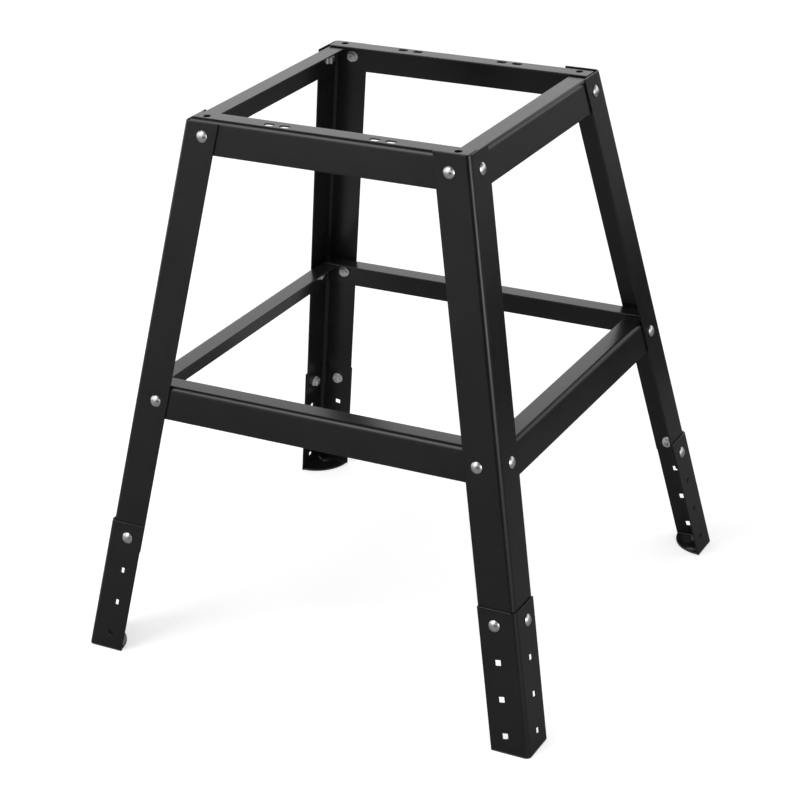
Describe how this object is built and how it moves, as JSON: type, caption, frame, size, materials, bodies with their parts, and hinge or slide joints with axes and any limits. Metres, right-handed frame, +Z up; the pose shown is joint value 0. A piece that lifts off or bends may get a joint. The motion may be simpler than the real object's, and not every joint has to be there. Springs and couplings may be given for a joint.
{
  "type": "scroll saw stand",
  "caption": "Splayed workshop stand of bent angle steel with two tiers of bolted rails, slotted top flanges for a benchtop machine, and sliding leg extensions with foot plates.",
  "frame": {"origin": "on the floor, at the middle of the four feet", "axes": "+Z up, the front of the stand faces -Y, +X to the right of someone facing the front"},
  "size_m": [0.636, 0.6106, 0.7018],
  "materials": {
    "leg_coat": "black semi-gloss powder coat",
    "rail_coat": "black semi-gloss powder coat",
    "extension_coat": "black semi-gloss powder coat",
    "bolt_zinc": "bright zinc plating",
    "nut_zinc": "bright zinc plating"
  },
  "bodies": {
    "frame": {"leg_front_left": "leg_coat", "leg_front_right": "leg_coat", "leg_rear_right": "leg_coat", "leg_rear_left": "leg_coat", "top_rail_front": "rail_coat", "top_rail_rear": "rail_coat", "top_rail_left": "rail_coat", "top_rail_right": "rail_coat", "lower_rail_front": "rail_coat", "lower_rail_rear": "rail_coat", "lower_rail_left": "rail_coat", "lower_rail_right": "rail_coat", "top_bolt_front_left_end": "bolt_zinc", "top_nut_front_left_end": "nut_zinc", "lower_bolt_and_nut_front_left_end": "bolt_zinc", "extension_bolt_head_front_left_end": "bolt_zinc", "extension_nut_front_left_end": "nut_zinc", "top_bolt_front_left_side": "bolt_zinc", "top_nut_front_left_side": "nut_zinc", "lower_bolt_and_nut_front_left_side": "bolt_zinc", "extension_bolt_head_front_left_side": "bolt_zinc", "extension_nut_front_left_side": "nut_zinc", "top_bolt_front_right_end": "bolt_zinc", "top_nut_front_right_end": "nut_zinc", "lower_bolt_and_nut_front_right_end": "bolt_zinc", "extension_bolt_head_front_right_end": "bolt_zinc", "extension_nut_front_right_end": "nut_zinc", "top_bolt_front_right_side": "bolt_zinc", "top_nut_front_right_side": "nut_zinc", "lower_bolt_and_nut_front_right_side": "bolt_zinc", "extension_bolt_head_front_right_side": "bolt_zinc", "extension_nut_front_right_side": "nut_zinc", "top_bolt_rear_right_end": "bolt_zinc", "top_nut_rear_right_end": "nut_zinc", "lower_bolt_and_nut_rear_right_end": "bolt_zinc", "extension_bolt_head_rear_right_end": "bolt_zinc", "extension_nut_rear_right_end": "nut_zinc", "top_bolt_rear_right_side": "bolt_zinc", "top_nut_rear_right_side": "nut_zinc", "lower_bolt_and_nut_rear_right_side": "bolt_zinc", "extension_bolt_head_rear_right_side": "bolt_zinc", "extension_nut_rear_right_side": "nut_zinc", "top_bolt_rear_left_end": "bolt_zinc", "top_nut_rear_left_end": "nut_zinc", "lower_bolt_and_nut_rear_left_end": "bolt_zinc", "extension_bolt_head_rear_left_end": "bolt_zinc", "extension_nut_rear_left_end": "nut_zinc", "top_bolt_rear_left_side": "bolt_zinc", "top_nut_rear_left_side": "nut_zinc", "lower_bolt_and_nut_rear_left_side": "bolt_zinc", "extension_bolt_head_rear_left_side": "bolt_zinc", "extension_nut_rear_left_side": "nut_zinc"},
    "front_left_extension": {"extension_front_left": "extension_coat"},
    "front_right_extension": {"extension_front_right": "extension_coat"},
    "rear_right_extension": {"extension_rear_right": "extension_coat"},
    "rear_left_extension": {"extension_rear_left": "extension_coat"}
  },
  "joints": [
    {"name": "front_left_height", "type": "slide", "parent": "frame", "child": "front_left_extension", "axis": [0.1731, 0.1614, 0.9716], "range_m": [0, 0.1386]},
    {"name": "front_right_height", "type": "slide", "parent": "frame", "child": "front_right_extension", "axis": [-0.1731, 0.1614, 0.9716], "range_m": [0, 0.1386]},
    {"name": "rear_right_height", "type": "slide", "parent": "frame", "child": "rear_right_extension", "axis": [-0.1731, -0.1614, 0.9716], "range_m": [0, 0.1386]},
    {"name": "rear_left_height", "type": "slide", "parent": "frame", "child": "rear_left_extension", "axis": [0.1731, -0.1614, 0.9716], "range_m": [0, 0.1386]}
  ]
}
